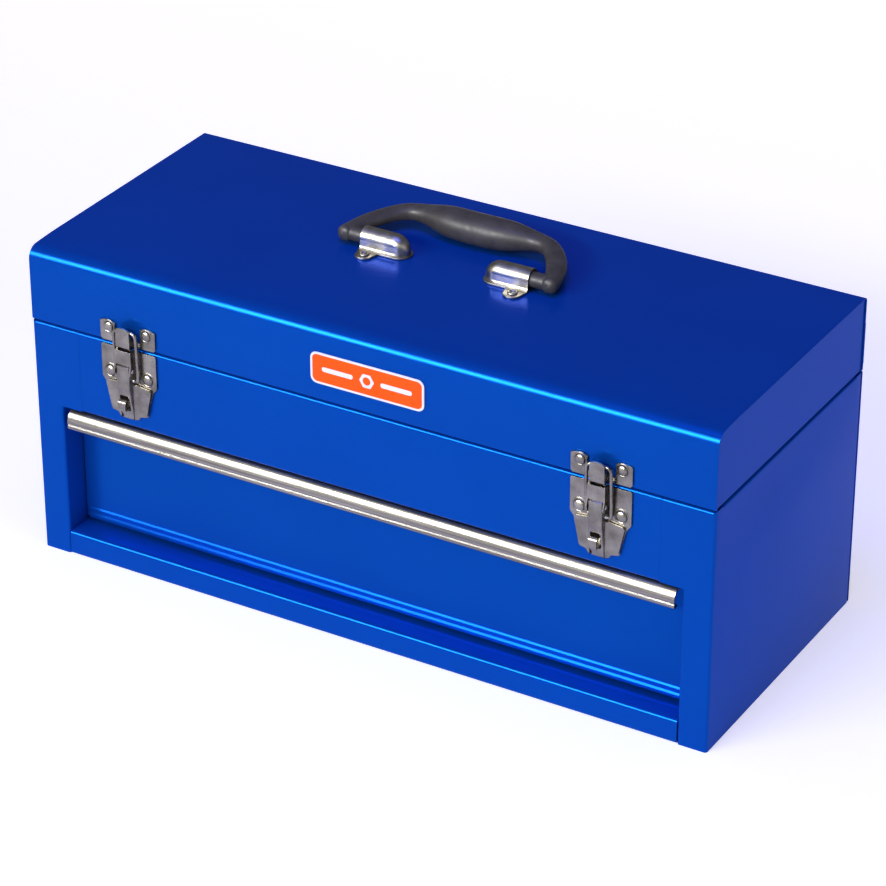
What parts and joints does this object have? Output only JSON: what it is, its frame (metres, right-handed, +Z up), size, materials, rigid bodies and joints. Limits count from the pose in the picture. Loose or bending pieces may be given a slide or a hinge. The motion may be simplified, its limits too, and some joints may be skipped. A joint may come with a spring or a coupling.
{
  "type": "metal tool box",
  "caption": "Portable steel tool chest with a hinged lid, an open upper compartment, a recessed drawer below, draw latches and a folding carry handle.",
  "frame": {"origin": "middle of the flat underside", "axes": "+X to the right as seen from the front, +Y to the back (the hinge side), +Z up"},
  "size_m": [0.52, 0.2354, 0.2557],
  "materials": {
    "blue_paint": "gloss powder coat",
    "zinc_steel": "zinc plated",
    "nickel": "satin nickel plate",
    "chrome": "bright chrome plate",
    "aluminium": "satin anodised",
    "grip_plastic": "matte moulded",
    "badge_enamel": "gloss"
  },
  "bodies": {
    "body": {"left_side_panel": "blue_paint", "right_side_panel": "blue_paint", "back_panel": "blue_paint", "front_upper_panel": "blue_paint", "front_lower_rail": "blue_paint", "bottom_pan": "blue_paint", "divider_shelf": "blue_paint", "left_outer_slide": "zinc_steel", "right_outer_slide": "zinc_steel", "hinge_body_leaf": "zinc_steel", "hinge_pin": "zinc_steel", "left_latch_base": "nickel", "right_latch_base": "nickel", "left_latch_base_left_rivet": "nickel", "left_latch_base_right_rivet": "nickel", "right_latch_base_left_rivet": "nickel", "right_latch_base_right_rivet": "nickel", "left_lever_pin": "zinc_steel", "right_lever_pin": "zinc_steel"},
    "lid": {"lid_shell": "blue_paint", "badge": "badge_enamel", "hinge_lid_leaf": "zinc_steel", "left_lid_end": "blue_paint", "right_lid_end": "blue_paint", "left_handle_bracket": "chrome", "right_handle_bracket": "chrome", "left_bracket_front_rivet": "chrome", "left_bracket_rear_rivet": "chrome", "right_bracket_front_rivet": "chrome", "right_bracket_rear_rivet": "chrome", "left_keeper": "nickel", "right_keeper": "nickel", "left_keeper_left_rivet": "nickel", "left_keeper_right_rivet": "nickel", "right_keeper_left_rivet": "nickel", "right_keeper_right_rivet": "nickel"},
    "handle": {"handle_grip": "grip_plastic", "left_handle_pivot_pin": "zinc_steel", "right_handle_pivot_pin": "zinc_steel"},
    "drawer": {"drawer_tray": "blue_paint", "drawer_front": "blue_paint", "drawer_pull": "aluminium", "left_inner_slide": "zinc_steel", "right_inner_slide": "zinc_steel"},
    "left_lever": {"left_lever": "nickel"},
    "left_link": {"left_link_pin": "zinc_steel"},
    "left_loop": {"left_draw_loop": "nickel"},
    "right_lever": {"right_lever": "nickel"},
    "right_link": {"right_link_pin": "zinc_steel"},
    "right_loop": {"right_draw_loop": "nickel"}
  },
  "joints": [
    {"name": "lid_hinge", "type": "hinge", "parent": "body", "child": "lid", "pos_m": [0, 0.1112, 0.179], "axis": [-1, 0, 0], "range_deg": [0, 100]},
    {"name": "handle_fold", "type": "hinge", "parent": "lid", "child": "handle", "pos_m": [0.0005, 0.007, 0.2415], "axis": [1, 0, 0], "range_deg": [0, 169]},
    {"name": "drawer_slide", "type": "slide", "parent": "body", "child": "drawer", "axis": [0, -1, 0], "range_m": [0, 0.15]},
    {"name": "left_lever_swing", "type": "hinge", "parent": "body", "child": "left_lever", "pos_m": [-0.18, -0.1147, 0.164], "axis": [-1, 0, 0], "range_deg": [0, 110]},
    {"name": "left_link_turn", "type": "hinge", "parent": "left_lever", "child": "left_link", "pos_m": [-0.18, -0.1125, 0.156], "axis": [-1, 0, 0], "range_deg": [-110, 0]},
    {"name": "left_loop_swing", "type": "hinge", "parent": "left_link", "child": "left_loop", "pos_m": [-0.18, -0.1125, 0.156], "axis": [1, 0, 0], "range_deg": [0, 30]},
    {"name": "right_lever_swing", "type": "hinge", "parent": "body", "child": "right_lever", "pos_m": [0.18, -0.1147, 0.164], "axis": [-1, 0, 0], "range_deg": [0, 110]},
    {"name": "right_link_turn", "type": "hinge", "parent": "right_lever", "child": "right_link", "pos_m": [0.18, -0.1125, 0.156], "axis": [-1, 0, 0], "range_deg": [-110, 0]},
    {"name": "right_loop_swing", "type": "hinge", "parent": "right_link", "child": "right_loop", "pos_m": [0.18, -0.1125, 0.156], "axis": [1, 0, 0], "range_deg": [0, 30]}
  ],
  "couplings": [
    {"joint": "left_link_turn", "follows": "left_lever_swing", "ratio": -1},
    {"joint": "right_link_turn", "follows": "right_lever_swing", "ratio": -1}
  ]
}
